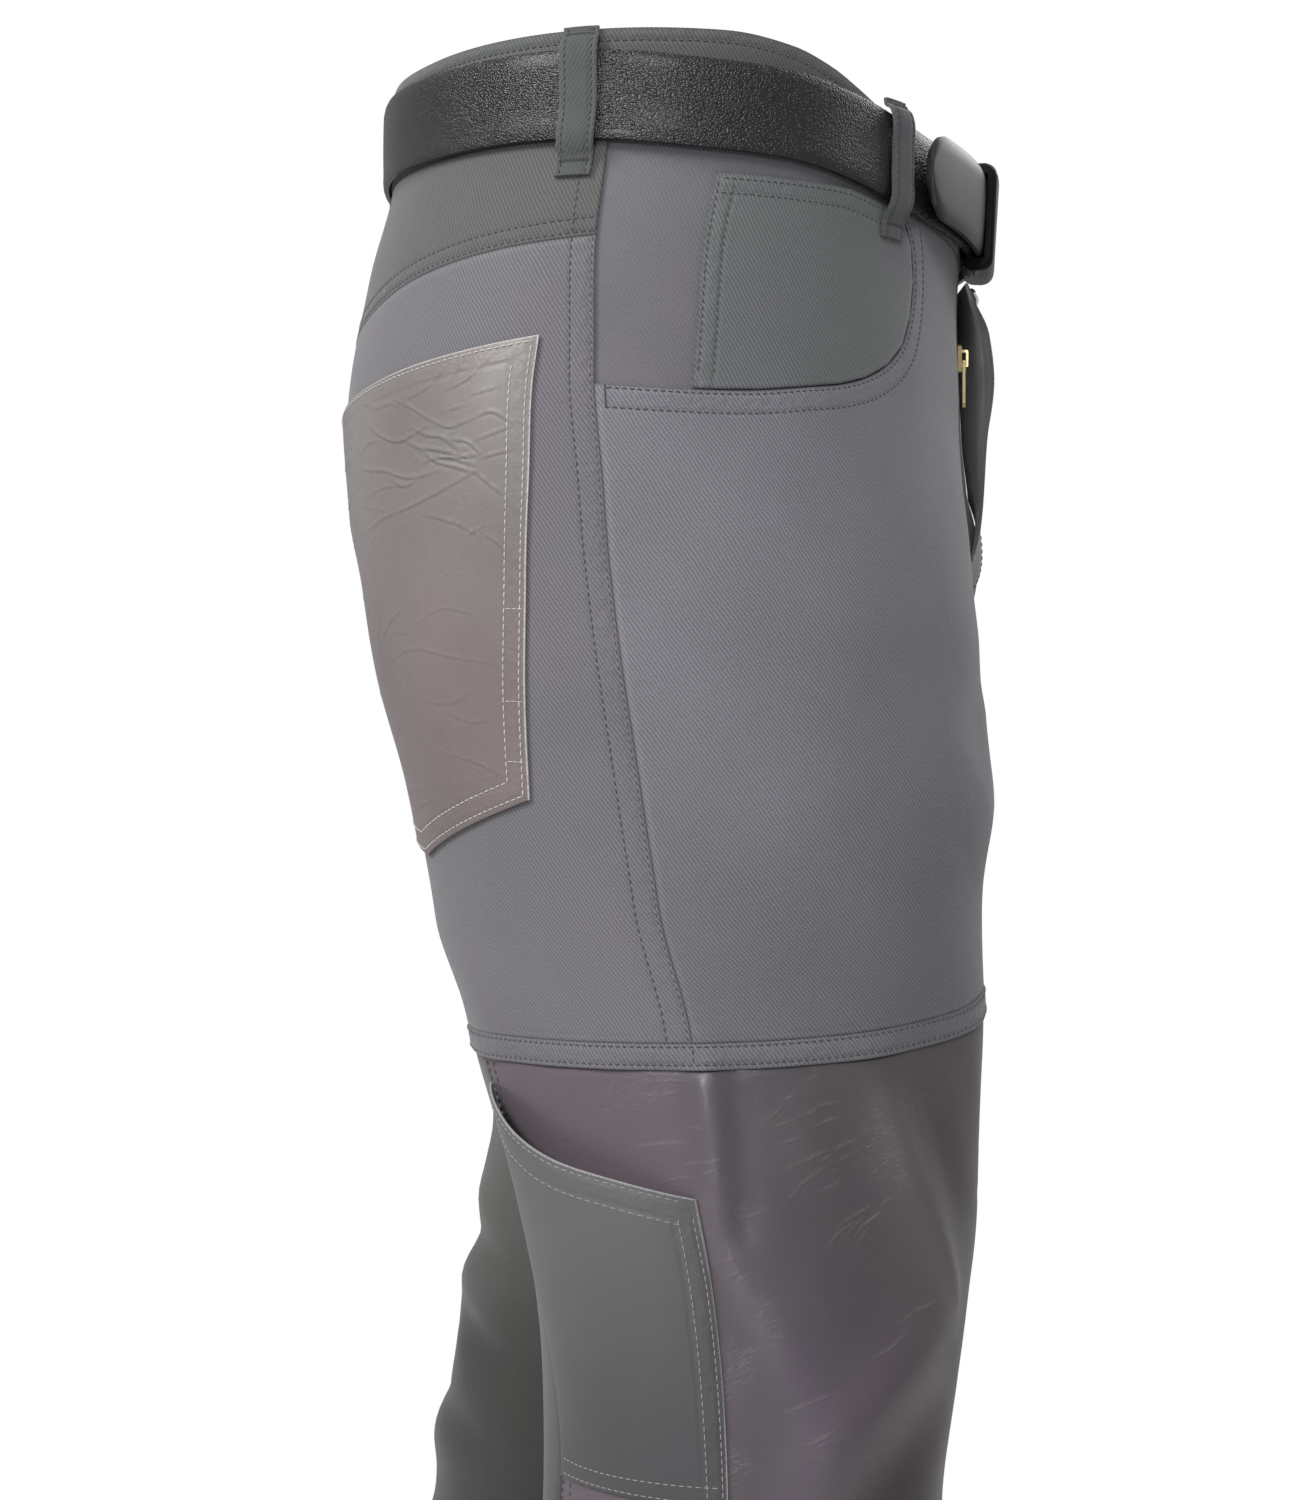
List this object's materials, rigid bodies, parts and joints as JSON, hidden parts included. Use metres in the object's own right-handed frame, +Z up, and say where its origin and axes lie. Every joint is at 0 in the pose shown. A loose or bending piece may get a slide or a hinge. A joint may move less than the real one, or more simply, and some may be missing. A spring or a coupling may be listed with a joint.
{
  "type": "work pants",
  "caption": "Worn grey twill work pants with leather-look pocket and leg panels, scooped front pockets, a slanted tool pocket, an open zip fly and a black belt.",
  "frame": {"origin": "middle of the waist at the height of the belt, where the wearer holds the garment up", "axes": "+Z up towards the waist opening, -Y towards the wearer's front, -X towards the wearer's right"},
  "size_m": [0.4088, 0.3086, 1.0906],
  "materials": {
    "twill": "grey cotton twill, matt",
    "leather_pocket": "creased leather-look cloth, soft sheen",
    "leather_leg": "smooth leather-look cloth, soft sheen",
    "belt_leather": "pebbled black leather, satin",
    "buckle": "gloss black",
    "brass": "polished brass",
    "steel": "polished",
    "tape": "woven zip tape"
  },
  "bodies": {
    "pants": {"back_L": "twill", "back_R": "twill", "back_pocket_L": "leather_pocket", "back_pocket_R": "leather_pocket", "belt_buckle": "buckle", "belt_strap": "belt_leather", "coin_pocket": "twill", "facing_L": "twill", "facing_R": "twill", "fly_flap": "twill", "fly_snap": "steel", "front_L": "twill", "front_R": "twill", "hem_band_L": "twill", "hem_band_R": "twill", "leg_back_L": "twill", "leg_back_R": "twill", "leg_front_L": "leather_leg", "leg_front_R": "leather_leg", "loop_back": "twill", "loop_front_L": "twill", "loop_front_R": "twill", "loop_side_L": "twill", "loop_side_R": "twill", "tool_pocket": "leather_pocket", "waistband_L": "twill", "waistband_R": "twill", "yoke_L": "twill", "yoke_R": "twill", "zip_chain": "brass", "zip_slider": "brass", "zip_tape_L": "tape", "zip_tape_R": "tape"},
    "pull": {"zip_pull": "brass"}
  },
  "joints": [
    {"name": "pull_tab", "type": "hinge", "parent": "pants", "child": "pull", "pos_m": [0, -0.13023, -0.0796], "axis": [-1, 0, 0], "range_deg": [0, 150]}
  ]
}
